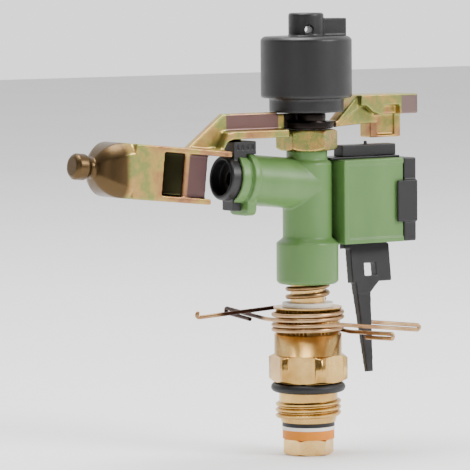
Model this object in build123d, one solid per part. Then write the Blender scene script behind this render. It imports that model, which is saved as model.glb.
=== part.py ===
"""Part-circle impact sprinkler with a half-inch male inlet.

Millimetres, +Z up along the axis that the head turns about.
The origin is on that axis, in the inlet's sealing face, under the fixed hexagon.
The jet leaves towards -X and climbs; the trip mechanism is on the +X side.
"""
from build123d import *
import os
from math import atan2, cos, degrees, hypot, radians, sin, sqrt, tan

os.makedirs("parts", exist_ok=True)

# ---------------------------------------------------------------- clearances
fit_gap = 0.03        # radial, pieces that screw or press together
run_gap = 0.05        # radial, pieces that turn on each other
face_gap = 0.05       # axial, faces that slide on each other
part_gap = 0.30       # between moving pieces that must never touch

# ---------------------------------------------------------------- inlet sleeve
thread_r = 20.955 / 2         # G 1/2 crest
thread_pitch = 1.814          # 14 turns to the inch
thread_depth = 1.162
thread_length = 12.9          # below the sealing face
thread_lead = 3.0             # tapered first turns
thread_lead_drop = 2.08       # how far the taper falls below the crest
thread_relief = 3.5           # plain neck under the hexagon, holds the seal ring
sleeve_hex_af = 22.0
sleeve_hex_height = 8.6
sleeve_barrel_r = 10.7
sleeve_barrel_length = 6.46
sleeve_land_r = 10.25         # groove that the clips grip
sleeve_lip = 0.65             # stands past the groove
sleeve_lip_height = 0.5
seal_ring_section = 2.9
seal_ring_drop = 0.4          # below the sealing face
seal_ring_stand = 1.37        # past the thread crest

# ---------------------------------------------------------------- arc clips
clip_wire = 1.3
clip_coil_gap = 0.2           # between the turns of one clip
clip_wrap = 615.5             # degrees of ring between the two ears
clip_reach = 32.7             # ear, from the ring
clip_knee = 8.0               # the ear bends this far from the ring
clip_start_rise = 1.2         # the first ear rises by this much to its end
clip_end_drop = 2.2           # and the second falls by this much
clip_return = 15.0
clip_hairpin_gap = 0.2
clip_space = 0.15             # between the two clips, and to the lip
lower_clip_turn = -3.5        # where the first ear leaves the ring, degrees
upper_clip_turn = 176.5

# ---------------------------------------------------------------- turning tube and its washers
tube_r = 5.5
tube_wall = 1.5
tube_flange_af = 14.0
tube_flange_height = 5.1
tube_screwed_length = 9.0
rubber_washer = 1.3           # thicknesses
ptfe_washer = 1.1
amber_washer = 2.9
rubber_washer_width = 2.85    # from the tube outwards
ptfe_washer_width = 2.9
amber_washer_width = 2.75
top_washer = 1.3
top_washer_width = 2.6
thrust_spring_wire = 1.5
thrust_spring_play = 0.1      # radial, on the tube
thrust_spring_turns = 4.6

# ---------------------------------------------------------------- moulded body
collar_gap = 6.0              # top washer to collar
collar_wall = 2.45            # round the spring's pocket
collar_height = 13.0
spring_pocket_depth = 7.0
main_r = 7.8
riser_height = 26.1           # collar to shoulder
cone_height = 1.6
moulded_edge = 0.8
neck_r = 6.5
neck_height = 3.2
stub_r = 5.0
stub_height = 2.5
jet_rise = 6.0                # degrees
jet_drop = 7.7                # jet axis below the shoulder, on the turning axis
branch_r = 8.0
branch_reach = 26.2           # along the jet axis, to the nozzle's seat
branch_lip = 3.0              # past the seat, round the nozzle
branch_lip_wall = 1.05
branch_groove = 0.9           # behind the lip
branch_groove_depth = 0.5
branch_flange = 2.2
branch_flange_step = 0.85     # past the branch's own radius
branch_passage_r = 4.6
branch_lug = 2.6              # drop of the bayonet lug under the flange
branch_lug_width = 11.0
branch_lug_length = 3.4
branch_lug_corner = 2.4

# ---------------------------------------------------------------- nozzle
nozzle_r = 7.0
nozzle_stand = 6.5            # past its seat
nozzle_shank_r = 5.6
nozzle_shank_length = 12.0
nozzle_orifice_r = 2.2
nozzle_recess_wall = 1.4
nozzle_recess_depth = 3.4
nozzle_edge = 0.5
nozzle_wing_width = 8.0
nozzle_wing_gap = 0.8         # to the arm's flange above it
nozzle_wing_front = 3.8       # past the seat
nozzle_wing_back = 4.5        # behind the seat
nozzle_rib_depth = 0.35
nozzle_foot_width = 6.0
nozzle_foot_drop = 10.2
seal_width = 1.8
seal_depth = 0.9
seal_from_end = 3.0
vane_sheet = 0.6              # ring and vanes of the straightener
straightener_from = 7.0

# ---------------------------------------------------------------- arm pivot
nut_af = 17.0
nut_height = 6.6
shaft_r = 2.5
shaft_collar_step = 1.9
shaft_collar = 1.5
thrust_disc = 0.3
thrust_disc_r = 6.0
bushing_wall = 1.5

# ---------------------------------------------------------------- spring cap
cap_lift = 5.15               # above the arm's hub face
cap_r = 14.45
cap_skirt_step = 2.65         # the skirt is this much smaller
cap_skirt = 4.5
cap_height = 19.4
cap_wall = 1.9
cap_roof = 2.4
cap_edge = 1.0
cap_boss_r = 5.6
cap_boss = 7.4
cap_wing_reach = 13.6
cap_wing_width = 5.5
cap_wing = 5.6
cap_hole_r = 1.28
cap_hole_rise = 2.2
cap_hole_turn = -24.0
shaft_in_cap = 0.1            # past the cap's top, inside the boss
arm_spring_wire = 1.6
arm_spring_play = 1.2         # radial, on the hub tube
arm_spring_turns = 8.0
arm_spring_gap = 1.4          # under the cap's roof

# ---------------------------------------------------------------- swinging arm, heights from the hub's face
hub_disc_r = 8.6
hub_disc = 2.25
hub_wall = 1.0
hub_tube = 17.65
beam_height = 5.45
beam_web = 3.0
flange_rise = 0.05
flange_depth = 2.4
flange_width = 11.0
flange_from_hub = 1.6
beam_bend_gap = 0.7           # the bend stands this much behind the nozzle's front
beam_landing = 10.8           # past the spoon's open end
spoon_width = 18.0
spoon_up = 8.4                # outer faces above and below the jet axis
spoon_down = 8.6
spoon_wall = 1.8
spoon_dome_r = 10.5           # rounds the corners of the nose
spoon_gap = 2.0               # nozzle to spoon
spoon_length = 45.7
spoon_far_wall = 1.8          # lengths from the spoon's open end
spoon_floor = 6.5
spoon_window_end = 24.6
vane_start = 17.1
vane_inner = 4.0              # the vane's inner edge is this far in from the near side
vane_wall = 1.3
stub_knob_r = 4.1
stub_neck_r = 3.1
stub_neck = 1.2                # its length past the nose
stub_knob = 6.4
stop_lug_drop = 4.0
stop_lug_width = 2.4
weight_rise = 10.05
weight_gap = 3.55             # outside the cap
weight_length = 22.0
weight_block = 7.0
weight_depth = 6.4
weight_plate = 3.4
weight_recess = 2.5
weight_near = -4.5
weight_far = 8.5
weight_rib_to = 9.0           # from the weight's inner end
anchor_r = 4.3                # boss that takes the arm spring's leg
anchor_x = -0.7
anchor_y = -4.2
anchor_drop = 3.0
strut_foot_x = 8.0
strut_width = 5.0
strut_wall = 2.0
strut_web = 2.0
tail_lug_from = 8.4           # from the weight's inner end
tail_lug_length = 11.8
tail_lug_near = 2.5
tail_lug_depth = 14.1         # below the weight's top
tail_lug_border = 2.4
tail_lug_panel = 0.8

# ---------------------------------------------------------------- trip housing
box_from = 8.2
box_length = 23.2
box_half = 9.0
box_height = 26.7
box_wall = 1.6
box_border = 1.5
box_panel_depth = 0.4
web_near = -1.0
web_far = 6.5
cover_depth = 4.7
cover_lip = 2.2
cover_lip_wall = 1.4
cover_tab_back = 3.0
cover_tab_rise = 6.3
cover_tab_height = 13.3
cover_tab = 0.9

# ---------------------------------------------------------------- trip mechanism
trip_pivot_drop = 18.2        # below the housing's roof
trip_tilt = 7.25              # either side of upright
trip_pin_r = 1.5
trip_barrel_wall = 1.7
trip_thickness = 3.2
trip_inset = 6.4              # plate from the housing's inner wall
trip_outset = 1.7             # and from its open side
trip_below_box = 1.1
trip_plate = 12.0
trip_finger_x = 18.6
trip_finger_lean = 0.5        # the finger's tip stands this much further out
trip_finger_root = 2.8        # half width where the finger leaves the plate
trip_finger_tip = 1.15
trip_tip_thickness = 1.8
trip_gusset = 3.4
trip_bottom = 1.8             # above the sealing face
trip_slot_w = 4.5
trip_slot_h = 4.1
trip_slot_out = 3.1           # from the finger
trip_slot_rise = 4.0          # from the plate's lower edge
nose_height = 11.0            # above the pivot
nose_lean = 5.2               # degrees
nose_r = 1.0
lift = 4.0
striker_inset = 3.1
striker_past = 0.6            # beyond the housing's open side
striker_near = -3.5
striker_far = 1.5
striker_height = 4.4          # above the housing's roof
stem_inset = 7.8
stem_length = 7.0
stem_side = 0.1
guide_plate = 0.7
guide_from = 6.0
guide_past = 1.1
guide_half = 5.0
nub_r = 0.55
nub_height = 1.0
nub_inset = 13.7
toggle_spring_wire = 0.8
toggle_spring_r = 1.5
toggle_spring_turns = 7.0
toggle_spring_inset = 4.8
toggle_seat = 4.2             # above the pivot

# ---------------------------------------------------------------- worked out
sleeve_barrel_top = sleeve_hex_height + sleeve_barrel_length
sleeve_lip_r = sleeve_land_r + sleeve_lip
seal_ring_outer_r = thread_r + seal_ring_stand
clip_pitch = clip_wire + clip_coil_gap
clip_ring_r = sleeve_land_r + run_gap + clip_wire / 2
clip_climb = clip_pitch * clip_wrap / 360
clip_height = clip_climb + clip_wire
clip_land_top = sleeve_barrel_top + 2 * clip_height + 3 * clip_space
lower_clip_z = sleeve_barrel_top + clip_space
upper_clip_z = lower_clip_z + clip_height + clip_space
sleeve_top = clip_land_top + sleeve_lip_height
sleeve_bottom = -thread_length
tube_bore_r = tube_r - tube_wall
thrust_spring_r = tube_r + thrust_spring_play + thrust_spring_wire / 2
pocket_r = thrust_spring_r + thrust_spring_wire / 2 + part_gap
collar_r = pocket_r + collar_wall
rubber_bottom = sleeve_bottom - face_gap - rubber_washer
ptfe_bottom = rubber_bottom - ptfe_washer
amber_bottom = ptfe_bottom - amber_washer
tube_bottom = amber_bottom - tube_flange_height
top_washer_top = sleeve_top + face_gap + top_washer
collar_bottom = top_washer_top + collar_gap
pocket_top = collar_bottom + spring_pocket_depth
collar_top = collar_bottom + collar_height
tube_top = pocket_top + tube_screwed_length
main_top = collar_top + riser_height
neck_top = main_top + neck_height
stub_top = neck_top + stub_height
nut_top = neck_top + nut_height
jet_height = main_top - jet_drop
branch_flange_r = branch_r + branch_flange_step
nozzle_reach = branch_reach + nozzle_stand
nozzle_recess_r = nozzle_r - nozzle_recess_wall
hub_bottom = nut_top + thrust_disc + face_gap
bushing_r = shaft_r + bushing_wall
hub_tube_r = bushing_r + hub_wall
hub_disc_top = hub_bottom + hub_disc
hub_tube_top = hub_bottom + hub_tube
cap_skirt_r = cap_r - cap_skirt_step
cap_bottom = hub_bottom + cap_lift
cap_shoulder = cap_bottom + cap_skirt
cap_top = cap_shoulder + cap_height
shaft_top = cap_top + shaft_in_cap
arm_spring_r = hub_tube_r + arm_spring_play + arm_spring_wire / 2
arm_spring_top = cap_top - cap_roof - arm_spring_gap
beam_top = hub_bottom + beam_height
flange_top = hub_bottom + flange_rise
flange_bottom = flange_top - flange_depth
beam_bend = beam_bend_gap - nozzle_reach
spoon_from = nozzle_reach + spoon_gap
spoon_nose = spoon_from + spoon_length
nozzle_wing_from = -branch_reach - nozzle_wing_front
nozzle_wing_to = nozzle_wing_back - branch_reach
nozzle_wing_top = flange_bottom - nozzle_wing_gap
weight_from = cap_r + weight_gap
weight_to = weight_from + weight_length
weight_top = hub_bottom + weight_rise
weight_bottom = weight_top - weight_depth
box_to = box_from + box_length
box_bottom = main_top - box_height
cover_to = box_to + cover_depth
trip_pivot_z = main_top - trip_pivot_drop
trip_barrel_r = trip_pin_r + trip_barrel_wall
trip_from = box_from + trip_inset
trip_to = box_to - trip_outset
trip_top = box_bottom - trip_below_box
trip_plate_bottom = trip_top - trip_plate
striker_from = box_from + striker_inset
striker_to = box_to + striker_past
striker_top = main_top + striker_height
stem_from = box_from + stem_inset
stem_to = stem_from + stem_length
stem_near = striker_near + stem_side
stem_far = striker_far - stem_side
toggle_spring_x = box_from + toggle_spring_inset
jet = Plane(
    origin=(0, 0, jet_height),
    x_dir=(0, 1, 0),
    z_dir=(-cos(radians(jet_rise)), 0, sin(radians(jet_rise))),
)                             # its z runs along the jet, its x across, its -y is up


def jet_z(x):
    """Height of the jet axis where it passes x."""
    return jet_height - x * tan(radians(jet_rise))


# ---------------------------------------------------------------- building blocks
def rod(r, z0, z1):
    """A solid cylinder on the turning axis."""
    return Pos(0, 0, (z0 + z1) / 2) * Cylinder(r, z1 - z0)


def pipe(r_out, r_in, z0, z1):
    """A ring on the turning axis."""
    return rod(r_out, z0, z1) - rod(r_in, z0 - 1, z1 + 1)


def block(x0, x1, y0, y1, z0, z1):
    """A box between two corners."""
    return Pos((x0 + x1) / 2, (y0 + y1) / 2, (z0 + z1) / 2) * Box(x1 - x0, y1 - y0, z1 - z0)


def turned(points):
    """A closed (radius, height) outline turned about the Z axis."""
    return revolve(Plane.XZ * make_face(Polyline(*points, close=True)), Axis.Z)


def along_jet(shape):
    """Carry a shape made on the Z axis onto the jet axis."""
    return jet * shape


def side_plate(points, y0, y1):
    """A closed (x, z) outline given thickness between y0 and y1."""
    face = Plane.XZ * make_face(Polyline(*points, close=True))
    return Pos(0, y1, 0) * extrude(face, amount=y1 - y0)


def hexagon(across_flats, z0, z1, turn=0.0):
    """A hexagonal bar whose corners are turned down at both ends."""
    corner = across_flats / sqrt(3)
    drop = 0.55 * (corner - across_flats / 2)
    hexa = extrude(Plane.XY.offset(z0) * RegularPolygon(corner, 6, rotation=turn), amount=z1 - z0)
    inner = across_flats / 2
    envelope = turned([(0, z0), (inner, z0), (corner + 0.01, z0 + drop), (corner + 0.01, z1 - drop),
                       (inner, z1), (0, z1)])
    return hexa & envelope


def coil(r, wire, z0, z1, turns):
    """A round-wire spring between two heights."""
    path = Pos(0, 0, z0 + wire / 2) * Helix((z1 - z0 - wire) / turns, z1 - z0 - wire, r)
    section = Plane(origin=path @ 0, z_dir=path % 0) * Circle(wire / 2)
    return sweep(section, path=path)


# ---------------------------------------------------------------- inlet
def bearing_sleeve():
    """Brass sleeve: male thread, hexagon, barrel and the land that the clips grip."""
    root = thread_r - thread_depth
    hexa = hexagon(sleeve_hex_af, 0, sleeve_hex_height, turn=15.8)
    core = rod(root, sleeve_bottom, 0)
    crest = thread_pitch / 8
    ring_low = sleeve_bottom + thread_lead
    ring_high = -thread_relief
    outline = [(0, sleeve_bottom), (root, sleeve_bottom)]
    count = int((ring_high - sleeve_bottom) / thread_pitch)
    for i in range(count):
        z = ring_high - (count - i - 0.5) * thread_pitch
        taper = max(0.0, (ring_low - z) / thread_lead) * thread_lead_drop
        tip = max(root + face_gap, thread_r - taper)
        flank = (thread_pitch - crest) / 2
        outline += [(root, z - flank), (tip, z - crest / 2), (tip, z + crest / 2), (root, z + flank - 0.001)]
    outline += [(root, 0), (0, 0)]
    thread = turned(outline)
    barrel = rod(sleeve_barrel_r, sleeve_hex_height, sleeve_barrel_top)
    land = rod(sleeve_land_r, sleeve_barrel_top, clip_land_top)
    lip = rod(sleeve_lip_r, clip_land_top, sleeve_top)
    sleeve = hexa + core + thread + barrel + land + lip
    return sleeve - rod(tube_r + run_gap, sleeve_bottom - 1, sleeve_top + 1)


def thread_o_ring():
    """Rubber ring that seals the thread against the fitting's face."""
    root = thread_r - thread_depth + fit_gap
    low, high = -seal_ring_drop - seal_ring_section, -seal_ring_drop
    mid = (low + high) / 2
    bulge = seal_ring_outer_r - seal_ring_section / 2
    ring = revolve(Plane.XZ * Pos(bulge, mid) * Circle(seal_ring_section / 2), Axis.Z)
    return ring + pipe(bulge, root, low, high) - rod(root, low - 1, high + 1)


def clip(first_turn, z0):
    """One wire clip: a ring of nearly two turns with two straight ears that end in hairpins."""
    ring = Helix(clip_pitch, clip_climb, clip_ring_r)
    ring = Pos(0, 0, z0 + clip_wire / 2) * Rot(0, 0, first_turn) * ring
    start, end = ring @ 0, ring @ 1
    back, ahead = -(ring % 0), ring % 1
    wire = Circle(clip_wire / 2)
    body = sweep(Plane(origin=start, z_dir=ring % 0) * wire, path=ring)
    hairpin_r = (clip_wire + clip_hairpin_gap) / 2
    for foot, way, side, rise in ((start, back, -1, clip_start_rise), (end, ahead, 1, -clip_end_drop)):
        knee = foot + way * clip_knee
        tip = knee + way * (clip_reach - clip_knee)
        tip = Vector(tip.X, tip.Y, foot.Z + rise)
        onward = (tip - knee).normalized()
        up = Vector(0, 0, side * 2 * hairpin_r)
        up = up - onward * up.dot(onward)
        hairpin = ThreePointArc(tip, tip + up * 0.5 + onward * hairpin_r, tip + up)
        tail = Line(tip + up, tip + up - onward * clip_return)
        for piece in (Line(foot, knee), Line(knee, tip), hairpin, tail):
            body += sweep(Plane(origin=piece @ 0, z_dir=piece % 0) * wire, path=piece)
        body += Pos(*knee) * Sphere(clip_wire / 2)
    return body


# ---------------------------------------------------------------- turning tube
def spindle_tube():
    """Brass tube with a hexagonal foot; it turns in the sleeve and screws into the body."""
    foot = hexagon(tube_flange_af, tube_bottom, amber_bottom, turn=-23)
    return foot + rod(tube_r, amber_bottom, tube_top) - rod(tube_bore_r, tube_bottom - 1, tube_top + 1)


def washer(width, z0, thickness):
    """A flat washer on the tube."""
    return pipe(tube_r + width, tube_r + fit_gap, z0, z0 + thickness)


def thrust_spring():
    """Spring that pulls the tube's foot up against its washers."""
    return coil(thrust_spring_r, thrust_spring_wire, top_washer_top, pocket_top, thrust_spring_turns)


# ---------------------------------------------------------------- body
def housing():
    """Open box beside the riser: a wall all round, no floor, and no wall on the far side."""
    roof = main_top
    outer = block(box_from, box_to, -box_half, box_half, box_bottom, roof)
    inner = block(box_from + box_wall, box_to + 1, -box_half + box_wall, box_half - box_wall,
                  box_bottom - 1, roof - box_wall)
    shell = outer - inner
    for side in (-1, 1):
        face = side * box_half
        shell -= block(box_from + box_border, box_to + 1, min(face, face - side * box_panel_depth),
                       max(face, face - side * box_panel_depth), box_bottom + box_border,
                       roof - box_border)
    return shell


def sprinkler_body():
    """Moulded body: collar, riser, jet branch, pivot neck and trip housing in one piece."""
    edge = moulded_edge
    riser = turned([(0, collar_bottom), (collar_r - edge, collar_bottom), (collar_r, collar_bottom + edge),
                    (collar_r, collar_top), (main_r, collar_top + cone_height), (main_r, main_top - edge),
                    (main_r - edge, main_top), (neck_r, main_top), (neck_r, neck_top), (stub_r, neck_top),
                    (stub_r, stub_top), (0, stub_top)])
    flange_to = branch_reach - branch_groove
    flange = rod(branch_flange_r, flange_to - branch_flange, flange_to)
    groove = rod(branch_r - branch_groove_depth, 0, branch_reach)
    branch = along_jet(rod(branch_r, 0, flange_to) + flange + groove) + nozzle_lip()
    end_x = -branch_reach * cos(radians(jet_rise))
    lug_low = jet_z(end_x) - branch_flange_r - branch_lug
    lug_profile = RectangleRounded(branch_lug_width, branch_flange_r, branch_lug_corner)
    lug = Plane.YZ.offset(end_x + face_gap) * Pos(0, lug_low + branch_flange_r / 2) * lug_profile
    lug = extrude(lug, amount=branch_lug_length)
    web = block(0, box_from + box_wall, web_near, web_far, collar_top + cone_height, main_top)
    body = riser + branch + lug + web + housing()
    body -= rod(pocket_r, collar_bottom - 1, pocket_top)
    body -= rod(tube_r + fit_gap, pocket_top - 0.5, tube_top)
    body -= rod(tube_bore_r, tube_top - 0.5, jet_height)
    body -= along_jet(rod(branch_passage_r, 0, branch_reach + 1)
                      + rod(nozzle_shank_r + fit_gap, branch_reach - nozzle_shank_length, branch_reach + 1)
                      + rod(nozzle_r + run_gap, branch_reach, nozzle_reach))
    body -= rod(shaft_r + fit_gap, main_top - 1.0, stub_top + 1)
    body -= block(stem_from - run_gap, stem_to + run_gap, stem_near - run_gap, stem_far + run_gap,
                  main_top - box_wall - 1, main_top + 1)
    body -= x_rod(trip_pin_r + fit_gap, box_from - 2, box_from + box_wall + 1)
    return body


def nozzle_lip():
    """Thin lip round the nozzle, open above and below where the nozzle's wing and foot pass."""
    lip_r = nozzle_r + run_gap + branch_lip_wall
    lip = rod(lip_r, branch_reach - fit_gap, branch_reach + branch_lip)
    for width, side in ((nozzle_wing_width, -1), (nozzle_foot_width, 1)):
        lip -= Pos(0, side * lip_r, branch_reach + branch_lip) * Box(width + part_gap, lip_r, 2 * branch_lip)
    return along_jet(lip)


def x_rod(r, x0, x1):
    """A cylinder along the trip lever's pivot."""
    return Pos((x0 + x1) / 2, 0, trip_pivot_z) * Rot(0, 90, 0) * Cylinder(r, x1 - x0)


def stream_straightener():
    """Ring with crossed vanes in the jet branch, behind the nozzle."""
    length0, length1 = straightener_from, branch_reach - nozzle_shank_length - part_gap
    r = branch_passage_r - fit_gap
    ring = pipe(r, r - vane_sheet, length0, length1)
    middle = (length0 + length1) / 2
    for turn in (0, 90):
        ring += Pos(0, 0, middle) * Rot(0, 0, turn) * Box(2 * r - vane_sheet, vane_sheet, length1 - length0)
    return along_jet(ring)


# ---------------------------------------------------------------- nozzle
def nozzle():
    """Black push-and-turn nozzle with a ribbed wing on top and a short foot below."""
    back = branch_reach - nozzle_shank_length
    orifice_at = nozzle_reach - nozzle_recess_depth
    collar_from = branch_reach + face_gap
    groove0 = back + seal_from_end
    groove_r = nozzle_shank_r - seal_depth
    shape = turned([
        (nozzle_shank_r - 1.0, back), (nozzle_shank_r, back), (nozzle_shank_r, groove0),
        (groove_r, groove0), (groove_r, groove0 + seal_width), (nozzle_shank_r, groove0 + seal_width),
        (nozzle_shank_r, collar_from), (nozzle_r, collar_from), (nozzle_r, nozzle_reach - nozzle_edge),
        (nozzle_r - nozzle_edge, nozzle_reach), (nozzle_recess_r, nozzle_reach),
        (nozzle_recess_r, orifice_at),
        (nozzle_orifice_r, orifice_at), (nozzle_orifice_r, orifice_at - 2.5)])
    shape = along_jet(shape)
    half = nozzle_wing_width / 2
    wing = block(nozzle_wing_from, nozzle_wing_to, -half, half, jet_z(nozzle_wing_from), nozzle_wing_top)
    rib = (nozzle_wing_to - nozzle_wing_from) / 9
    for i in range(4):
        x = nozzle_wing_from + (2 * i + 1) * rib
        for side in (-1, 1):
            wing -= block(x, x + rib, side * half - nozzle_rib_depth, side * half + nozzle_rib_depth,
                          jet_z(nozzle_wing_from) + branch_flange_r, nozzle_wing_top - moulded_edge)
    foot_x = -branch_reach - nozzle_edge
    half_foot = nozzle_foot_width / 2
    foot = block(nozzle_wing_from, foot_x, -half_foot, half_foot, jet_z(nozzle_wing_from) - nozzle_foot_drop,
                 jet_z(nozzle_wing_from))
    wings = wing + foot
    wings -= along_jet(rod(nozzle_r - nozzle_edge, 0, nozzle_reach + 1))
    wings -= along_jet(rod(branch_flange_r + part_gap / 2, 0, collar_from))
    return shape + wings


def nozzle_o_ring():
    """Seal in the nozzle's groove."""
    at = branch_reach - nozzle_shank_length + seal_from_end + fit_gap
    inner = nozzle_shank_r - seal_depth + fit_gap
    return along_jet(pipe(nozzle_shank_r, inner, at, at + seal_width - 2 * fit_gap))


# ---------------------------------------------------------------- arm pivot
def pivot_nut():
    """Hexagon nut that clamps the shaft's collar on the body's neck."""
    nut = hexagon(nut_af, neck_top, nut_top, turn=30)
    nut -= rod(stub_r + fit_gap, neck_top - 1, stub_top + shaft_collar)
    return nut - rod(shaft_r + run_gap, neck_top, nut_top + 1)


def arm_shaft():
    """Steel shaft that the arm swings on, from the body's neck up into the cap."""
    collar = rod(shaft_r + shaft_collar_step, stub_top, stub_top + shaft_collar)
    return rod(shaft_r, main_top - moulded_edge, shaft_top) + collar


def thrust_disc_washer():
    """Thin washer between the nut and the arm's hub."""
    return pipe(thrust_disc_r, shaft_r + run_gap, nut_top, nut_top + thrust_disc)


def arm_bushing():
    """Plastic bearing inside the arm's hub."""
    return pipe(bushing_r - fit_gap, shaft_r + run_gap, hub_bottom, hub_tube_top)


# ---------------------------------------------------------------- spring cap
def spring_cap():
    """Cap over the arm spring, with a boss and a finger wing on top."""
    inside = cap_r - cap_wall
    throat = cap_skirt_r - cap_wall
    edge = cap_edge
    boss_top = cap_top + cap_boss
    shell = turned([
        (throat, cap_bottom), (cap_skirt_r, cap_bottom), (cap_skirt_r, cap_shoulder),
        (cap_r - edge / 2, cap_shoulder), (cap_r, cap_shoulder + edge / 2), (cap_r, cap_top - edge),
        (cap_r - edge, cap_top), (0, cap_top), (0, cap_top - cap_roof), (inside, cap_top - cap_roof),
        (inside, cap_shoulder + cap_wall), (throat, cap_shoulder + cap_wall)])
    boss = turned([(0, cap_top - edge), (cap_boss_r, cap_top - edge), (cap_boss_r, boss_top - edge / 2),
                   (cap_boss_r - edge / 2, boss_top), (0, boss_top)])
    half_wing = cap_wing_width / 2
    wing = block(0, cap_wing_reach, -half_wing, half_wing, cap_top - edge, cap_top + cap_wing)
    cap = shell + boss + wing
    cross = Pos(0, 0, cap_top + cap_hole_rise) * Rot(0, 0, cap_hole_turn) * Rot(90, 0, 0)
    cap -= cross * Cylinder(cap_hole_r, 4 * cap_boss_r)
    return cap - rod(shaft_r + fit_gap, cap_top - cap_roof - 1, shaft_top + fit_gap)


def arm_spring():
    """Torsion spring that brings the arm back into the jet."""
    return coil(arm_spring_r, arm_spring_wire, cap_bottom, arm_spring_top, arm_spring_turns)


# ---------------------------------------------------------------- arm
def spoon():
    """Hollow deflector at the arm's end, set square to the jet."""
    half = spoon_width / 2
    tall = (spoon_up + spoon_down) / 2
    centre = (spoon_up - spoon_down) / 2

    def envelope(inset):
        """The outer form, or the hollow inside it when there is an inset."""
        start = spoon_from - inset
        plan_end, side_end = spoon_nose - half, spoon_nose - tall
        plan = Pos((start + plan_end) / 2, 0) * Rectangle(plan_end - start, 2 * (half - inset))
        plan += Pos(plan_end, 0) * Circle(half - inset)
        side = Pos((start + side_end) / 2, centre) * Rectangle(side_end - start, 2 * (tall - inset))
        side += Pos(side_end, centre) * Circle(tall - inset)
        vault = extrude(plan, amount=2 * tall, both=True)
        vault &= extrude(Plane.XZ * side, amount=2 * half, both=True)
        dome_x = spoon_nose - spoon_dome_r
        square = block(start - 1, dome_x, -half - 1, half + 1, centre - tall - 1, centre + tall + 1)
        return vault & (square + Pos(dome_x, 0, centre) * Sphere(spoon_dome_r - inset))

    shape = envelope(0) - envelope(spoon_wall)
    low, high = -spoon_down + spoon_wall, spoon_up - spoon_wall
    window_to = spoon_from + spoon_window_end
    shape -= block(spoon_from - 1, window_to, -half - 1, -half + spoon_wall + fit_gap, low, high)
    shape -= block(spoon_from - 1, spoon_from + spoon_far_wall, half - spoon_wall - fit_gap, half + 1,
                   low, high)
    shape -= block(spoon_from - 1, spoon_from + spoon_floor, -half - 1, half + 1, -spoon_down - 1, low)
    (s0, y0), (s1, y1) = (spoon_from + vane_start, -half), (spoon_from + spoon_floor, -half + vane_inner)
    vane = Pos((s0 + s1) / 2, (y0 + y1 + vane_wall) / 2) * Rot(0, 0, degrees(atan2(y1 - y0, s1 - s0)))
    vane = vane * Box(hypot(s1 - s0, y1 - y0), vane_wall, high - low + 2 * fit_gap)
    bounds = block(spoon_from, spoon_nose, -half, half, low - fit_gap, high + fit_gap)
    shape += Pos(0, 0, (high + low) / 2) * vane & bounds
    neck_to = spoon_nose + stub_neck
    knob = turned([(0, spoon_nose - half / 2), (stub_neck_r, spoon_nose - half / 2), (stub_neck_r, neck_to),
                   (stub_knob_r - cap_edge, neck_to), (stub_knob_r, neck_to + cap_edge),
                   (stub_knob_r, spoon_nose + stub_knob - cap_edge),
                   (stub_knob_r - cap_edge, spoon_nose + stub_knob), (0, spoon_nose + stub_knob)])
    shape += Rot(0, 90, 0) * knob
    tilt = Plane(origin=(0, 0, jet_height), x_dir=(-cos(radians(jet_rise)), 0, sin(radians(jet_rise))),
                 z_dir=(sin(radians(jet_rise)), 0, cos(radians(jet_rise))))
    return tilt * (mirror(shape, about=Plane.XZ))


def roof_z(x):
    """Top of the spoon's roof at x."""
    return jet_z(x) + spoon_up / cos(radians(jet_rise))


def beam():
    """Web and lower flange from the hub to the spoon's roof."""
    half_web, half_flange = beam_web / 2, flange_width / 2
    bend, land = beam_bend, -spoon_from - beam_landing
    web_toe = bend - 3.0
    flange_overlap = 0.4
    inner_top = cap_bottom - part_gap
    step_x = -cap_skirt_r - part_gap
    foot_x = -hub_disc_r - flange_from_hub
    web = side_plate([(0, hub_bottom), (0, inner_top), (step_x, inner_top), (step_x, beam_top),
                      (bend, beam_top), (land, roof_z(land) - 0.3), (land, roof_z(land) - 1.2),
                      (web_toe, roof_z(web_toe) - flange_depth / 2), (bend, flange_bottom + flange_overlap),
                      (bend, flange_top - flange_overlap),
                      (foot_x - flange_overlap, flange_top - flange_overlap),
                      (foot_x - flange_overlap, hub_bottom)], -half_web, half_web)
    low, high = bend - 3.5, bend - 6.0
    flange = side_plate([(foot_x, flange_top), (foot_x, flange_bottom), (bend + 1, flange_bottom),
                         (bend - 1.2, flange_bottom - 0.8), (low, roof_z(low) - spoon_wall),
                         (high, roof_z(high) - spoon_wall), (high, roof_z(high)), (low, roof_z(low) + 0.6),
                         (bend - 1, flange_top - flange_overlap), (bend + 1, flange_top)],
                        -half_flange, half_flange)
    stop_from = nozzle_wing_width / 2 + part_gap
    stop = block(nozzle_wing_from, nozzle_wing_to, stop_from, stop_from + stop_lug_width,
                 flange_bottom - stop_lug_drop, flange_bottom + 1)
    return web + flange + stop


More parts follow.
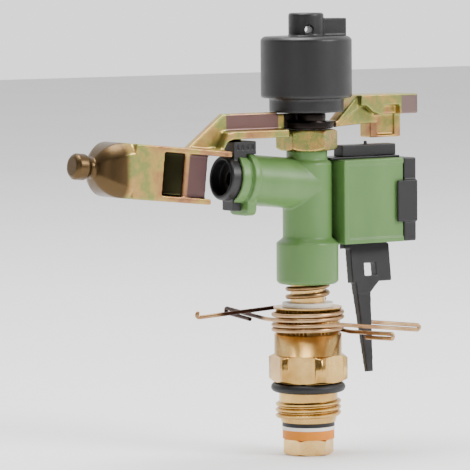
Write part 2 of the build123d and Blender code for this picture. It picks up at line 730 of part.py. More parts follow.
def balance_weight():
    """Strut, ribbed weight and the tail lug that meets the striker."""
    foot, half_strut, half_web = strut_foot_x, strut_width / 2, strut_web / 2
    lug_from = weight_from + tail_lug_from
    lug_to = lug_from + tail_lug_length
    rib_to = weight_from + weight_rib_to
    rise = strut_wall * 1.4
    strut = side_plate([(foot - 4, hub_bottom), (foot + 2, hub_bottom),
                        (weight_from + 1.6, weight_top - weight_plate), (weight_from + 3, weight_top),
                        (weight_from, weight_top), (foot + 2, hub_bottom + rise - 0.8),
                        (foot - 4, hub_disc_top)], -half_strut, half_strut)
    web = side_plate([(foot + 1, hub_bottom), (lug_from + 1, hub_bottom + 1.0),
                      (lug_from + 1, weight_top - 1), (weight_from, weight_top - 1.5)], -half_web, half_web)
    plate = block(weight_from, weight_to, weight_near, weight_far, weight_top - weight_plate, weight_top)
    head = block(weight_to - weight_block, weight_to, weight_near, weight_far, weight_bottom, weight_top)
    core = block(rib_to - 2, weight_to - 1, weight_near + weight_recess, weight_far,
                 weight_bottom, weight_top)
    rib = side_plate([(weight_from, weight_top), (weight_from, weight_top - 1.8),
                      (rib_to - weight_rib_to / 2, weight_bottom + 1), (rib_to - 2, weight_bottom),
                      (rib_to, weight_bottom), (rib_to, weight_top)],
                     weight_near, weight_near + weight_recess)
    lug_bottom = weight_top - tail_lug_depth
    lug = block(lug_from, lug_to, tail_lug_near, weight_far, lug_bottom, weight_top - 1)
    border = tail_lug_border
    lug -= block(lug_from + border, lug_to - border, tail_lug_near - 1, tail_lug_near + tail_lug_panel,
                 lug_bottom + tail_lug_panel, weight_bottom)
    return strut + web + plate + head + core + rib + lug


def arm():
    """Cast arm: hub, spring anchor, beam, spoon and balance weight."""
    hub = rod(hub_disc_r, hub_bottom, hub_disc_top) + rod(hub_tube_r, hub_bottom, hub_tube_top)
    anchor_top = cap_bottom - part_gap
    anchor = Pos(anchor_x, anchor_y, anchor_top - anchor_drop / 2) * Cylinder(anchor_r, anchor_drop)
    anchor = fillet(anchor.edges().sort_by(Axis.Z)[0], anchor_drop / 2)
    shape = hub + anchor + beam() + spoon() + balance_weight()
    return shape - rod(bushing_r, hub_bottom - 1, hub_tube_top + 1)


# ---------------------------------------------------------------- trip housing cover
def housing_cover():
    """Black cover that shuts the open side of the housing and holds the pivot pin."""
    lip_half = box_half - box_wall - part_gap / 2
    roof = main_top - box_wall - part_gap / 2
    cover = block(box_to, cover_to, -box_half, box_half, box_bottom, main_top)
    cover -= block(box_to - 1, cover_to - box_wall, -lip_half + cover_lip_wall, lip_half - cover_lip_wall,
                   box_bottom + box_wall, roof - cover_lip_wall)
    lip = block(box_to - cover_lip, box_to, -lip_half, lip_half, box_bottom + box_wall, roof)
    lip -= block(box_to - cover_lip - 1, box_to + 1, -lip_half + cover_lip_wall, lip_half - cover_lip_wall,
                 box_bottom, roof - cover_lip_wall)
    tab_low = box_bottom + cover_tab_rise
    tab = block(box_to - cover_tab_back, cover_to, -box_half - cover_tab, -box_half, tab_low,
                tab_low + cover_tab_height)
    socket = x_rod(trip_barrel_r, box_to - 1, cover_to - face_gap)
    cover = cover + lip + tab + socket
    return cover - x_rod(trip_pin_r + fit_gap, box_to - 2, cover_to - box_wall)


# ---------------------------------------------------------------- trip mechanism
def trip_pivot_pin():
    """Steel pin across the housing that the trip lever rocks on."""
    return x_rod(trip_pin_r, box_from - 1.5, cover_to - box_wall - part_gap)


def trip_lever():
    """Black lever whose long finger meets the clips; it leans one way or the other."""
    half = trip_thickness / 2
    right = trip_finger_x + trip_finger_root
    plate = side_plate([(trip_from, trip_top), (trip_to, trip_top), (trip_to, trip_plate_bottom),
                        (right + trip_gusset, trip_plate_bottom),
                        (right - 0.2, trip_plate_bottom - trip_gusset),
                        (trip_finger_x - trip_finger_root + 0.2, trip_plate_bottom - trip_gusset),
                        (trip_finger_x - trip_finger_root, trip_plate_bottom),
                        (trip_from, trip_plate_bottom)], -half, half)
    root = Rectangle(2 * trip_finger_root, trip_thickness - fit_gap)
    finger = loft([Pos(trip_finger_x, 0, trip_plate_bottom) * root,
                   Pos(trip_finger_x + trip_finger_lean, 0, trip_bottom)
                   * Rectangle(2 * trip_finger_tip, trip_tip_thickness)])
    barrel_from, barrel_to = toggle_spring_x - 2.0, box_to - cover_lip - part_gap
    neck = block(barrel_from + 1.5, barrel_to, -half, half, trip_top - 1, trip_pivot_z)
    barrel = x_rod(trip_barrel_r, barrel_from, barrel_to)
    seat_to = barrel_from + 2 * (toggle_spring_x - barrel_from)
    seat_top = trip_pivot_z + toggle_seat - part_gap
    seat = block(barrel_from, seat_to, -half, half, trip_pivot_z, seat_top)
    pivot = Pos(0, 0, trip_pivot_z)
    lean = Rot(nose_lean, 0, 0)
    upper = pivot * lean * Pos((stem_from + stem_to) / 2, 0, nose_height / 2) * Box(
        stem_to - stem_from, 1.6 * nose_r, nose_height)
    nose = pivot * lean * Pos((stem_from + stem_to) / 2, 0, nose_height) * Rot(0, 90, 0) * Cylinder(
        nose_r, stem_to - stem_from)
    lever = plate + finger + neck + barrel + seat + upper + nose
    lever -= x_rod(trip_pin_r + run_gap, barrel_from - 1, barrel_to + 1)
    slot = Pos(trip_finger_x + trip_slot_out, 0, trip_plate_bottom + trip_slot_rise)
    lever -= slot * Box(trip_slot_w, 2 * trip_thickness, trip_slot_h)
    return pivot * Rot(-trip_tilt, 0, 0) * Pos(0, 0, -trip_pivot_z) * lever


def striker():
    """Black bar that the lever pushes up into the arm's path, with its wedge-ended stem."""
    base = main_top + guide_plate + face_gap
    bar = block(striker_from, striker_to, striker_near, striker_far, base, striker_top)
    rest = radians(trip_tilt - nose_lean)
    flipped = radians(-trip_tilt - nose_lean)
    y0, z0 = nose_height * sin(rest), trip_pivot_z + nose_height * cos(rest)
    y1 = nose_height * sin(flipped)
    slope = lift / (y0 - y1)
    above = z0 + (nose_r + part_gap) * sqrt(1 + slope ** 2)
    near_z = above + slope * (stem_near - y0)
    far_z = above + slope * (stem_far - y0)
    profile = make_face(Polyline((stem_near, near_z), (stem_far, far_z), (stem_far, base + 0.5),
                                 (stem_near, base + 0.5), close=True))
    stem = Pos(stem_from, 0, 0) * extrude(Plane.YZ * profile, amount=stem_to - stem_from)
    nub_at = Pos(box_from + nub_inset, (striker_near + striker_far) / 2, striker_top + nub_height / 2)
    nub = nub_at * Cylinder(nub_r, nub_height + fit_gap)
    return bar + stem + nub


def striker_guide():
    """Thin plate on the housing roof that the striker slides through."""
    plate = block(guide_from, box_to + guide_past, -guide_half, guide_half, main_top, main_top + guide_plate)
    plate -= block(stem_from - run_gap, stem_to + run_gap, stem_near - run_gap, stem_far + run_gap,
                   main_top - 1, main_top + guide_plate + 1)
    return plate - rod(neck_r + part_gap, main_top - 1, neck_top)


def toggle_spring():
    """Small spring that snaps the lever from one side to the other."""
    low = trip_pivot_z + toggle_seat + 0.2
    spring = coil(toggle_spring_r, toggle_spring_wire, low, main_top - box_wall, toggle_spring_turns)
    return Pos(toggle_spring_x, 0, 0) * spring


pieces = {
    "bearing_sleeve": bearing_sleeve(),
    "thread_o_ring": thread_o_ring(),
    "lower_sector_clip": clip(lower_clip_turn, lower_clip_z),
    "upper_sector_clip": clip(upper_clip_turn, upper_clip_z),
    "spindle_tube": spindle_tube(),
    "lower_rubber_washer": washer(rubber_washer_width, rubber_bottom, rubber_washer),
    "lower_ptfe_washer": washer(ptfe_washer_width, ptfe_bottom, ptfe_washer),
    "lower_amber_washer": washer(amber_washer_width, amber_bottom, amber_washer),
    "upper_ptfe_washer": washer(top_washer_width, sleeve_top + face_gap, top_washer),
    "thrust_spring": thrust_spring(),
    "sprinkler_body": sprinkler_body(),
    "stream_straightener": stream_straightener(),
    "nozzle": nozzle(),
    "nozzle_o_ring": nozzle_o_ring(),
    "pivot_nut": pivot_nut(),
    "arm_shaft": arm_shaft(),
    "arm_thrust_washer": thrust_disc_washer(),
    "arm_bushing": arm_bushing(),
    "arm": arm(),
    "arm_spring": arm_spring(),
    "spring_cap": spring_cap(),
    "housing_cover": housing_cover(),
    "trip_pivot_pin": trip_pivot_pin(),
    "trip_lever": trip_lever(),
    "striker": striker(),
    "striker_guide": striker_guide(),
    "toggle_spring": toggle_spring(),
}
for name, shape in pieces.items():
    export_step(shape, f"parts/{name}.step")
    print(f"{name}: {len(shape.solids())} solid, {shape.volume:.0f} mm3")
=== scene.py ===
# %% [markdown]
# # A part-circle impact sprinkler
# The head is a moulded green body that turns on a brass sleeve. A cast arm swings on top and is
# thrown aside by the jet again and again. The CAD model already holds every size and every joint,
# so this lesson adds the looks: softer castings, turned brass, a real helical thread, and finishes.
# The fixed frame is loaded first. Its nodes are the CAD pieces, already at their places, and they
# are never moved; whatever is made here has to stay inside the box that they fill.

# %% Load the fixed frame
import math

import bpy
from mathutils import Matrix, Vector


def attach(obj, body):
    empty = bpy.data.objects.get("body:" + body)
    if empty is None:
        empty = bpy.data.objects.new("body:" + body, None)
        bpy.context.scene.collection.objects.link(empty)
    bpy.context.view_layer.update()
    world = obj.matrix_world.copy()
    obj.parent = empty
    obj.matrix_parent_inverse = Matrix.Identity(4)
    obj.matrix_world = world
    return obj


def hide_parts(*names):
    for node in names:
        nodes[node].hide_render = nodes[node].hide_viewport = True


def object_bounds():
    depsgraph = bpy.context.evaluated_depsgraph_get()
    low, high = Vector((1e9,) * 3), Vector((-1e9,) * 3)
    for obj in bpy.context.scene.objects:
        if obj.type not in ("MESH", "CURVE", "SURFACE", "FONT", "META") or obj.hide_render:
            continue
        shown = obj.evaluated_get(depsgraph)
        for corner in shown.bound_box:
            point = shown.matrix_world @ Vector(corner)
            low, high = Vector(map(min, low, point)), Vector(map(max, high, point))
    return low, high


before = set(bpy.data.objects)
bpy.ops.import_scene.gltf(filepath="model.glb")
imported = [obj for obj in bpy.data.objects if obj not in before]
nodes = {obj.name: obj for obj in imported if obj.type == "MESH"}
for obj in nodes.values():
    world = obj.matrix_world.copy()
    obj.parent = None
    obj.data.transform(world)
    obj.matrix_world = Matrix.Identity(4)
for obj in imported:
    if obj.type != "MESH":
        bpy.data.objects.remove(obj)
cad_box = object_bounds()
bpy.ops.object.select_all(action="DESELECT")
mm = 0.001
print("CAD nodes:", len(nodes))
print("CAD box in mm:", [[round(v / mm, 1) for v in corner] for corner in cad_box])

# %% [markdown]
# ## Finishes
# Every finish is a small tree of nodes around one Principled shader. Noise on Object coordinates
# breaks up the colour and the gloss, and a very small bump gives the surface its grain. Object
# coordinates are used because each piece sits at the origin, so the pattern stays on the piece.


# %% Node helpers
def srgb(red, green, blue):
    """A colour as a painter names it, 0 to 255, turned into the linear values that shaders use."""
    def linear(value):
        value /= 255
        return value / 12.92 if value <= 0.04045 else ((value + 0.055) / 1.055) ** 2.4
    return (linear(red), linear(green), linear(blue), 1.0)


class Finish:
    """A material under construction: its tree, its shader and its object coordinates."""

    def __init__(self, name, metallic):
        self.material = bpy.data.materials.new(name)
        self.material.use_nodes = True
        self.tree = self.material.node_tree
        self.shader = self.tree.nodes["Principled BSDF"]
        self.shader.inputs["Metallic"].default_value = metallic
        self.coords = self.tree.nodes.new("ShaderNodeTexCoord").outputs["Object"]

    def link(self, source, target):
        self.tree.links.new(source, target)

    def mapped(self, scale):
        """Object coordinates stretched by scale, three numbers per metre."""
        mapping = self.tree.nodes.new("ShaderNodeMapping")
        mapping.inputs["Scale"].default_value = scale
        self.link(self.coords, mapping.inputs["Vector"])
        return mapping.outputs["Vector"]

    def noise(self, scale, detail=4.0, rough=0.55, stretch=(1, 1, 1)):
        node = self.tree.nodes.new("ShaderNodeTexNoise")
        node.inputs["Scale"].default_value = scale
        node.inputs["Detail"].default_value = detail
        node.inputs["Roughness"].default_value = rough
        self.link(self.mapped(stretch), node.inputs["Vector"])
        return node.outputs["Fac"]

    def ramp(self, source, stops):
        """A colour ramp from (place, colour) pairs."""
        node = self.tree.nodes.new("ShaderNodeValToRGB")
        elements = node.color_ramp.elements
        while len(elements) < len(stops):
            elements.new(0.5)
        for element, (place, colour) in zip(elements, stops):
            element.position = place
            element.color = colour
        self.link(source, node.inputs["Fac"])
        return node.outputs["Color"]

    def spread(self, source, low, high):
        """Stretches a 0 to 1 value over low to high."""
        node = self.tree.nodes.new("ShaderNodeMapRange")
        node.inputs["To Min"].default_value = low
        node.inputs["To Max"].default_value = high
        self.link(source, node.inputs["Value"])
        return node.outputs["Result"]

    def mix(self, factor, colour_a, colour_b):
        """Mixes two colours, either of which may be a socket or a plain colour."""
        node = self.tree.nodes.new("ShaderNodeMix")
        node.data_type = "RGBA"
        for index, value in ((0, factor), (6, colour_a), (7, colour_b)):
            if isinstance(value, bpy.types.NodeSocket):
                self.link(value, node.inputs[index])
            else:
                node.inputs[index].default_value = value
        return node.outputs[2]

    def zone(self, low, high, soft):
        """A mask that is 1 inside a box given in mm and fades to 0 over soft mm outside it."""
        centre = [(a + b) / 2 * mm for a, b in zip(low, high)]
        mapping = self.tree.nodes.new("ShaderNodeMapping")
        mapping.vector_type = "TEXTURE"
        mapping.inputs["Location"].default_value = centre
        self.link(self.coords, mapping.inputs["Vector"])
        size = self.tree.nodes.new("ShaderNodeVectorMath")
        size.operation = "ABSOLUTE"
        self.link(mapping.outputs["Vector"], size.inputs[0])
        past = self.tree.nodes.new("ShaderNodeVectorMath")
        past.operation = "SUBTRACT"
        self.link(size.outputs["Vector"], past.inputs[0])
        past.inputs[1].default_value = [(b - a) / 2 * mm for a, b in zip(low, high)]
        apart = self.tree.nodes.new("ShaderNodeSeparateXYZ")
        self.link(past.outputs["Vector"], apart.inputs["Vector"])
        furthest = apart.outputs["X"]
        for axis in ("Y", "Z"):
            larger = self.tree.nodes.new("ShaderNodeMath")
            larger.operation = "MAXIMUM"
            self.link(furthest, larger.inputs[0])
            self.link(apart.outputs[axis], larger.inputs[1])
            furthest = larger.outputs["Value"]
        fade = self.tree.nodes.new("ShaderNodeMapRange")
        fade.interpolation_type = "SMOOTHSTEP"
        fade.inputs["From Min"].default_value = 0.0
        fade.inputs["From Max"].default_value = soft * mm
        fade.inputs["To Min"].default_value = 1.0
        fade.inputs["To Max"].default_value = 0.0
        self.link(furthest, fade.inputs["Value"])
        return fade.outputs["Result"]

    def colour(self, socket):
        self.link(socket, self.shader.inputs["Base Color"])

    def gloss(self, socket, low, high):
        self.link(self.spread(socket, low, high), self.shader.inputs["Roughness"])

    def bump(self, socket, height, strength=0.6):
        """A bump of that height in metres."""
        node = self.tree.nodes.new("ShaderNodeBump")
        node.inputs["Strength"].default_value = strength
        node.inputs["Distance"].default_value = height
        self.link(socket, node.inputs["Height"])
        self.link(node.outputs["Normal"], self.shader.inputs["Normal"])

# %% [markdown]
# ## Moulded plastics
# Such a body is nylon in green, and the cap, nozzle, cover and trip parts are likely the same
# nylon in black. A steel mould leaves a satin face with a fine eroded grain and faint flow marks,
# drawn out along the height, so the noise for the colour is stretched in Z.


# %% Moulded plastics
def moulded_plastic(name, deep, pale, low, high, grain):
    """Satin plastic from a steel mould: faint flow marks and a fine eroded grain."""
    finish = Finish(name, metallic=0.0)
    flow = finish.noise(70, detail=3, stretch=(1, 1, 0.4))
    finish.colour(finish.ramp(flow, [(0.3, deep), (0.7, pale)]))
    fine = finish.noise(2600, detail=2)
    finish.gloss(finish.noise(300), low, high)
    finish.bump(fine, grain)
    finish.shader.inputs["Specular IOR Level"].default_value = 0.45
    return finish.material


green_plastic = moulded_plastic("green_plastic", srgb(82, 118, 62), srgb(94, 130, 72), 0.34, 0.46, 0.00002)
black_plastic = moulded_plastic("black_plastic", srgb(22, 20, 22), srgb(30, 28, 30), 0.34, 0.5, 0.00003)
print("plastics:", green_plastic.name, black_plastic.name)

# %% [markdown]
# ## Turned brass
# The sleeve and the tube are turned from hexagon bar. The tool leaves rings round the axis, only
# microns high, which draw each highlight out into a vertical band. Air dulls the brass in patches.


# %% Brass
def turned_brass(name, deep, pale, low, high, rings=0.000008):
    """Brass from a lathe: fine rings round the axis, a little tarnish in patches."""
    finish = Finish(name, metallic=1.0)
    patches = finish.noise(110, detail=5)
    finish.colour(finish.ramp(patches, [(0.32, deep), (0.62, pale)]))
    lathe = finish.noise(1, detail=2, stretch=(60, 60, 9000))
    finish.gloss(patches, low, high)
    finish.bump(lathe, rings, strength=0.5)
    return finish.material


brass = turned_brass("turned_brass", srgb(172, 130, 66), srgb(214, 176, 108), 0.2, 0.32)
warm_brass = turned_brass("foot_brass", srgb(206, 160, 92), srgb(238, 202, 136), 0.22, 0.34)
print("brasses:", brass.name, warm_brass.name)

# %% [markdown]
# ## Yellow passivated metal
# The arm is a zinc casting and the nut is zinc-plated steel. Both are dipped in a chromate bath,
# and the film dries gold, green and pink at once, like oil on water. A cloud of noise picks the
# hue through a colour ramp. Painted shade is laid on the arm in fixed places, each a box in mm with
# a soft border and a tint of its own, and one more box gives the near face of the end block a grey tint.


# %% Yellow passivated metal
def passivated(name, stops, low, high, cell, grain, metallic=0.9, zones=()):
    """Zinc under a yellow chromate film: patches of gold, pink, green and grey, and casting grain."""
    finish = Finish(name, metallic=metallic)
    cloud = finish.noise(cell, detail=5, rough=0.6)
    hue = finish.ramp(cloud, stops)
    speckle = finish.noise(1500, detail=3)
    speckle_and_painted_shade = finish.mix(finish.spread(speckle, 0.0, 0.3), hue, srgb(120, 104, 84))
    # Each zone mixes in its tint; on the arm and the upper clip the zones are painted shade.
    for corner_a, corner_b, soft, tint in zones:
        speckle_and_painted_shade = finish.mix(finish.zone(corner_a, corner_b, soft), speckle_and_painted_shade, tint)
    finish.colour(speckle_and_painted_shade)
    finish.gloss(finish.noise(420), low, high)
    finish.bump(finish.noise(900, detail=5), grain)
    return finish.material


film = [(0.30, srgb(92, 72, 56)), (0.40, srgb(172, 120, 80)), (0.50, srgb(186, 158, 84)),
        (0.57, srgb(132, 144, 78)), (0.66, srgb(196, 154, 88)), (0.78, srgb(104, 82, 68))]
# Painted shade under the cap over the hub, on the nose facing away from light, on the recessed web, in the
# spoon's hollow, on the vane; a grey block end.
painted_shade_and_tint_zones = [((-9.4, -9.4, 80.0), (9.4, 9.4, 98.2), 0.6, srgb(30, 24, 22)),
         ((-95.0, -12.0, 50.0), (-72.5, 12.0, 85.0), 2.4, srgb(84, 66, 42)),
         ((-31.0, -1.7, 80.8), (-12.0, 0.0, 85.2), 0.5, srgb(110, 84, 80)),
         ((-70.0, -6.9, 60.0), (-34.0, 7.6, 74.0), 0.4, srgb(44, 42, 22)),
         ((-51.6, -8.2, 60.0), (-40.0, -4.0, 75.0), 0.3, srgb(92, 68, 66)),
         ((34.0, -4.7, 83.0), (40.5, -4.2, 89.6), 0.6, srgb(124, 104, 100))]
passivated_casting = passivated("passivated_casting", film, 0.28, 0.46, 60, 0.00006, zones=painted_shade_and_tint_zones)
passivated_nut = passivated("passivated_nut", film[1:5], 0.22, 0.34, 80, 0.00001)
print("castings:", passivated_casting.name, "with", len(painted_shade_and_tint_zones), "marks;", passivated_nut.name)

# %% [markdown]
# ## Wire, rubber and washers
# The clips and the thrust spring are bronze-coloured spring wire, and one clip's back ear gets
# painted shade. The seals are black rubber, and the thrust washers are white PTFE with one in amber
# plastic. The small steel parts are ground, so they get the lathe finish in grey.

# %% Wire, rubber and washers
bronze = [(0.3, srgb(150, 104, 64)), (0.7, srgb(220, 184, 138))]
clip_wire = passivated("clip_wire", bronze, 0.28, 0.42, 90, 0.00001)
# Painted shade on the upper clip's back ear, which sits on the far side in shadow.
clip_ear_painted_shade = [((-20.0, 11.0, 15.0), (0.0, 60.0, 30.0), 4.0, srgb(52, 30, 20))]
clip_wire_painted_shade = passivated("clip_wire_painted_shade", bronze, 0.28, 0.42, 90, 0.00001, zones=clip_ear_painted_shade)
dark_bronze = [(0.3, srgb(92, 64, 40)), (0.7, srgb(176, 138, 92))]
spring_wire = passivated("spring_wire", dark_bronze, 0.28, 0.42, 120, 0.00001, metallic=0.95)
ground_steel = turned_brass("ground_steel", srgb(150, 150, 150), srgb(196, 196, 196), 0.2, 0.32)
rubber = moulded_plastic("black_rubber", srgb(16, 15, 16), srgb(26, 24, 26), 0.46, 0.6, 0.00002)
white_ptfe = moulded_plastic("white_ptfe", srgb(232, 226, 214), srgb(246, 242, 234), 0.38, 0.5, 0.00001)
amber = moulded_plastic("amber_washer", srgb(216, 122, 0), srgb(228, 138, 8), 0.5, 0.6, 0.00001)
print("small parts:", clip_wire.name, spring_wire.name, ground_steel.name, rubber.name, amber.name)

# %% [markdown]
# ## Which piece has which finish
# Every CAD node gets its finish here, even those that a softer piece will stand for later, so that
# nothing shows bare when the head is taken apart.

# %% Finish of each node
finish_of = {
    "bearing_sleeve": brass, "spindle_tube": warm_brass, "thread_o_ring": rubber,
    "lower_rubber_washer": rubber, "lower_ptfe_washer": white_ptfe, "upper_ptfe_washer": white_ptfe,
    "lower_amber_washer": amber, "lower_sector_clip": clip_wire, "upper_sector_clip": clip_wire_painted_shade,
    "thrust_spring": spring_wire, "arm_spring": ground_steel, "toggle_spring": ground_steel,
    "sprinkler_body": green_plastic, "stream_straightener": black_plastic, "nozzle": black_plastic,
    "nozzle_o_ring": rubber, "pivot_nut": passivated_nut, "arm_shaft": ground_steel,
    "arm_thrust_washer": white_ptfe, "arm_bushing": white_ptfe, "arm": passivated_casting,
    "spring_cap": black_plastic, "housing_cover": black_plastic, "trip_pivot_pin": ground_steel,
    "trip_lever": black_plastic, "striker": black_plastic, "striker_guide": black_plastic,
}
for name, material in finish_of.items():
    nodes[name].data.materials.clear()
    nodes[name].data.materials.append(material)
print("finished nodes:", len(finish_of), "of", len(nodes))

# %% [markdown]
# ## Tools for making pieces
# A piece starts as a primitive and is shaped with the same operators that a person would press keys
# for. An operator acts on all that is selected, so each tool first leaves edit mode and deselects.


# %% Selection and modifiers
def start_clean():
    """Leaves edit mode and deselects everything."""
    if bpy.context.object and bpy.context.object.mode != "OBJECT":
        bpy.ops.object.mode_set(mode="OBJECT")
    bpy.ops.object.select_all(action="DESELECT")


def only(piece):
    """Makes one piece the selected and active one."""
    start_clean()
    piece.select_set(True)
    bpy.context.view_layer.objects.active = piece


def apply(piece, kind, **settings):
    """Adds a modifier, sets it and applies it."""
    only(piece)
    modifier = piece.modifiers.new(kind.lower(), kind)
    for key, value in settings.items():
        setattr(modifier, key, value)
    bpy.ops.object.modifier_apply(modifier=modifier.name)


def dress(piece, material, slot, body, *replaced):
    """Gives a finished piece its material, its body and the CAD nodes that it stands for."""
    piece.data.materials.clear()
    piece.data.materials.append(material)
    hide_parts(*replaced)
    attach(piece, body)
    faces = len(piece.data.polygons)
    print(f"{piece.name}: {faces} faces, rides on {body}")


# %% [markdown]
# ## Castings and mouldings
# A cast or moulded part has no sharp edge anywhere. Bevelling a shape made of many joined solids is
# fragile, so a copy of the CAD mesh is merged, rebuilt in even small cells, and relaxed a little.
# That rounds every edge and fills every inside corner at once, as the mould does.


# %% Soft copies of CAD nodes
merge_gap = 0.002 * mm


def soft_copy(node, name, cell, rounds, keep):
    """A copy of a CAD node, merged, rebuilt in cells of that many mm, relaxed, and thinned out."""
    piece = bpy.data.objects.new(name, nodes[node].data.copy())
    bpy.context.scene.collection.objects.link(piece)
    only(piece)
    bpy.ops.object.mode_set(mode="EDIT")
    bpy.ops.mesh.select_all(action="SELECT")
    bpy.ops.mesh.remove_doubles(threshold=merge_gap)
    bpy.ops.object.mode_set(mode="OBJECT")
    apply(piece, "REMESH", mode="VOXEL", voxel_size=cell * mm)
    apply(piece, "SMOOTH", factor=0.5, iterations=rounds)
    apply(piece, "DECIMATE", ratio=keep)
    only(piece)
    bpy.ops.object.shade_smooth()
    return piece


print("soft copies are merged within", merge_gap / mm, "mm")

# %% [markdown]
# ## The cast arm
# The arm is one zinc casting: hub, beam, spoon, knob, strut and balance weight. Its edges are the
# rounder than those of the body, because molten zinc shrinks away from sharp corners, so it is
# relaxed for more rounds.

# %% Cast arm
arm = soft_copy("arm", "cast_arm", cell=0.32, rounds=5, keep=0.8)
dress(arm, passivated_casting, "passivated_casting", "arm", "arm")

# %% [markdown]
# ## The moulded body
# The body is one moulding: collar, riser, jet branch and trip housing. Its walls meet in small
# fillets, which come from relaxing the even cells a few times.

# %% Moulded body
body = soft_copy("sprinkler_body", "moulded_body", cell=0.30, rounds=3, keep=0.6)
dress(body, green_plastic, "green_plastic", "rotor", "sprinkler_body")

# %% [markdown]
# ## The black mouldings
# The cap, nozzle, cover, guide plate, trip lever and striker come from small moulds. The thinner
# the piece, the smaller the cell it is rebuilt in, so that ribs, slots and thin fingers survive.

# %% Black mouldings
black_mouldings = (
    # node, name of the piece, cell in mm, rounds of relaxing, body that it rides on
    ("spring_cap", "moulded_cap", 0.34, 4, "rotor"),
    ("nozzle", "moulded_nozzle", 0.2, 3, "rotor"),
    ("housing_cover", "moulded_cover", 0.26, 5, "rotor"),
    ("striker_guide", "guide_plate", 0.14, 2, "rotor"),
    ("trip_lever", "moulded_lever", 0.24, 3, "trip_lever"),
    ("striker", "moulded_striker", 0.2, 3, "striker"),
)
for node, name, cell, rounds, rider in black_mouldings:
    moulding = soft_copy(node, name, cell, rounds, keep=0.5)
    dress(moulding, black_plastic, "black_plastic", rider, node)

# %% [markdown]
# ## The nut under the arm
# The nut is cold-forged and then plated, so its corners are softer than those of turned brass.

# %% Forged nut
nut = soft_copy("pivot_nut", "forged_nut", cell=0.22, rounds=3, keep=0.6)
dress(nut, passivated_nut, "passivated_nut", "rotor", "pivot_nut")

# %% [markdown]
# ## Turning on a lathe
# A lathe shapes a bar by moving its tool in and out along the length. Here a circle does the same:
# it is extruded to the next height and resized to the next radius, until the outline is complete.


# %% Turned forms
def lathe(name, outline, segments=128):
    """A turned wall: a circle at the first (radius, height), extruded and resized to each next one."""
    start_clean()
    (radius, height), *rest = outline
    bpy.ops.mesh.primitive_circle_add(vertices=segments, radius=radius * mm, location=(0, 0, height * mm))
    piece = bpy.context.object
    piece.name = name
    only(piece)
    bpy.ops.object.transform_apply(location=True)
    bpy.ops.object.mode_set(mode="EDIT")
    bpy.ops.mesh.select_all(action="SELECT")
    for next_radius, next_height in rest:
        bpy.ops.mesh.extrude_region_move(
            TRANSFORM_OT_translate={"value": (0, 0, (next_height - height) * mm)})
        ratio = next_radius / radius
        bpy.ops.transform.resize(value=(ratio, ratio, 1), center_override=(0, 0, next_height * mm))
        radius, height = next_radius, next_height
    bpy.ops.mesh.select_all(action="SELECT")
    bpy.ops.mesh.normals_make_consistent(inside=False)
    bpy.ops.object.mode_set(mode="OBJECT")
    return piece


thread_r, thread_pitch, thread_root = 10.4775, 1.814, 9.32
thread_low, thread_high, bore = -12.9, -3.5, 5.56
lead_in, lead_depth = 2.6, 0.7
core = lathe("thread_core", [(thread_root, thread_high), (thread_root, thread_low + lead_in),
                             (thread_root - lead_depth, thread_low), (bore, thread_low),
                             (bore, thread_high)])
print("thread core:", len(core.data.polygons), "faces")

# %% [markdown]
# ## The helical ridge
# The CAD thread is a stack of rings, which is all that collision needs. The real one is a single
# helix. A small circle is stretched to the height of the thread and wound round the axis, one
# pitch for each turn; half of it sinks into the core, so a rounded crest is left.

# %% Helical ridge
crest_r, crest_stretch, first_turn = 0.62, 1.25, 1.2
start_clean()
bpy.ops.mesh.primitive_circle_add(vertices=10, radius=crest_r * mm, fill_type="NOTHING",
                                  location=(thread_root * mm, 0, 0), rotation=(math.radians(90), 0, 0))
ridge = bpy.context.object
ridge.name = "thread_ridge"
only(ridge)
bpy.ops.object.transform_apply(location=True, rotation=True)
bpy.ops.object.mode_set(mode="EDIT")
bpy.ops.mesh.select_all(action="SELECT")
bpy.ops.transform.resize(value=((thread_r - thread_root) / crest_r, 1, crest_stretch),
                         center_override=(thread_root * mm, 0, 0))
bpy.ops.transform.translate(value=(0, 0, (thread_low + first_turn) * mm))
bpy.ops.object.mode_set(mode="OBJECT")
whole_turns = int((thread_high - thread_low - lead_in) / thread_pitch)
apply(ridge, "SCREW", axis="Z", screw_offset=thread_pitch * mm, iterations=whole_turns, steps=96,
      render_steps=96, use_normal_calculate=True)
print("thread turns:", whole_turns, "pitch:", thread_pitch, "mm")

# %% [markdown]
# ## The inlet sleeve
# The hexagon and the barrel are kept as the CAD model has them, cut off above the thread. The core
# and the ridge take the thread's place, and the three are joined into one piece.

# %% Inlet sleeve
sleeve = bpy.data.objects.new("turned_sleeve", nodes["bearing_sleeve"].data.copy())
bpy.context.scene.collection.objects.link(sleeve)
only(sleeve)
bpy.ops.object.mode_set(mode="EDIT")
bpy.ops.mesh.select_all(action="SELECT")
bpy.ops.mesh.remove_doubles(threshold=merge_gap)
bpy.ops.mesh.bisect(plane_co=(0, 0, thread_high * mm), plane_no=(0, 0, 1), clear_inner=True)
bpy.ops.object.mode_set(mode="OBJECT")
only(sleeve)
core.select_set(True)
ridge.select_set(True)
bpy.ops.object.join()
bpy.ops.object.shade_smooth_by_angle(angle=math.radians(32))
dress(sleeve, brass, "brass", "inlet", "bearing_sleeve")

# %% [markdown]
# ## Camera
# A long lens from far off keeps the uprights straight and the box's edges parallel. The camera looks
# from a little above, past the spoon, so that the jet branch and the trip housing both show.

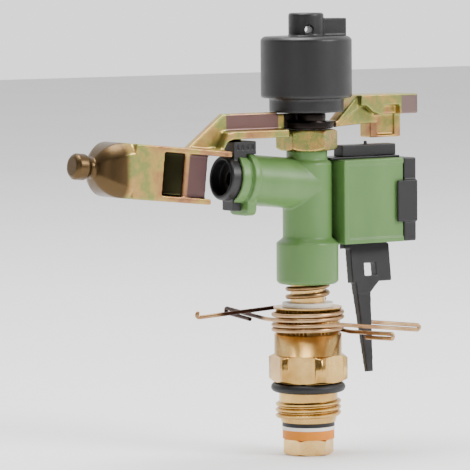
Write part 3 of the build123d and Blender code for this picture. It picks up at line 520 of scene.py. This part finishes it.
# %% Camera
aim = Vector((-19.2, 12.5, 46.6)) * mm
azimuth, elevation, distance, roll = math.radians(-33.0), math.radians(4.4), 1.2, math.radians(-0.45)
away = Vector((math.sin(azimuth) * math.cos(elevation), -math.cos(azimuth) * math.cos(elevation),
               math.sin(elevation)))
bpy.ops.object.camera_add(location=aim + away * distance)
camera = bpy.context.object
camera.rotation_euler = (away.to_track_quat("Z", "Y").to_matrix() @ Matrix.Rotation(roll, 3, "Z")).to_euler()
camera.data.lens = 290
camera.data.sensor_width = 36
camera.data.clip_start = 0.01
bpy.context.scene.camera = camera
print("camera at mm:", [round(v / mm) for v in camera.location], "lens:", camera.data.lens, "mm")

# %% [markdown]
# ## Floor
# The part stands on one wide sheet of pale paper, level with the foot of the tube.

# %% Floor
floor_z = min(corner[2] for corner in cad_box)
floor_size = 6
bpy.ops.mesh.primitive_plane_add(size=floor_size, location=(0, 0, floor_z))
floor = bpy.context.object
floor.name = "floor"
paper = Finish("paper", metallic=0.0)
paper.colour(paper.ramp(paper.noise(6), [(0.3, srgb(246, 246, 246)), (0.7, srgb(250, 250, 250))]))
paper.shader.inputs["Roughness"].default_value = 0.9
floor.data.materials.append(paper.material)
print("floor at mm:", round(floor_z / mm, 2))

# %% [markdown]
# ## Light
# Large square lamps give long calm highlights on brass and plastic. The key stands in front and to
# the right, so the housing's front is light and its left side falls dark. The surroundings are
# bright behind the part and dim behind the camera, which draws a dark edge down every round form.


# %% Lights
def soft_light(name, place, size, power, target=(0, 0, 0.05)):
    """A large square lamp that looks at the part."""
    bpy.ops.object.light_add(type="AREA", location=place)
    lamp = bpy.context.object
    lamp.name = name
    lamp.data.size = size
    lamp.data.energy = power
    lamp.rotation_euler = (Vector(place) - Vector(target)).to_track_quat("Z", "Y").to_euler()
    return lamp


soft_light("key", (0.55, -1.0, 0.75), 0.45, 17)
soft_light("top", (-0.2, 0.1, 1.3), 0.7, 26)
soft_light("edge", (-1.0, -0.5, 0.35), 0.3, 0.8)
world = bpy.data.worlds.new("studio")
world.use_nodes = True
world_nodes, world_links = world.node_tree.nodes, world.node_tree.links
direction = world_nodes.new("ShaderNodeTexCoord").outputs["Generated"]
bright_side = (0.58, 0.77, 0.26)
toward = world_nodes.new("ShaderNodeVectorMath")
toward.operation = "DOT_PRODUCT"
world_links.new(direction, toward.inputs[0])
toward.inputs[1].default_value = bright_side
strength = world_nodes.new("ShaderNodeMapRange")
strength.interpolation_type = "SMOOTHSTEP"
for name, value in (("From Min", -0.4), ("From Max", 0.75), ("To Min", 0.12), ("To Max", 1.6)):
    strength.inputs[name].default_value = value
world_links.new(toward.outputs["Value"], strength.inputs["Value"])
world_links.new(strength.outputs["Result"], world_nodes["Background"].inputs["Strength"])
world_nodes["Background"].inputs["Color"].default_value = (1, 1, 1, 1)
bpy.context.scene.world = world

# %% [markdown]
# ## Tidying up
# Edit mode is left and everything is deselected.

# %% Tidy up
start_clean()
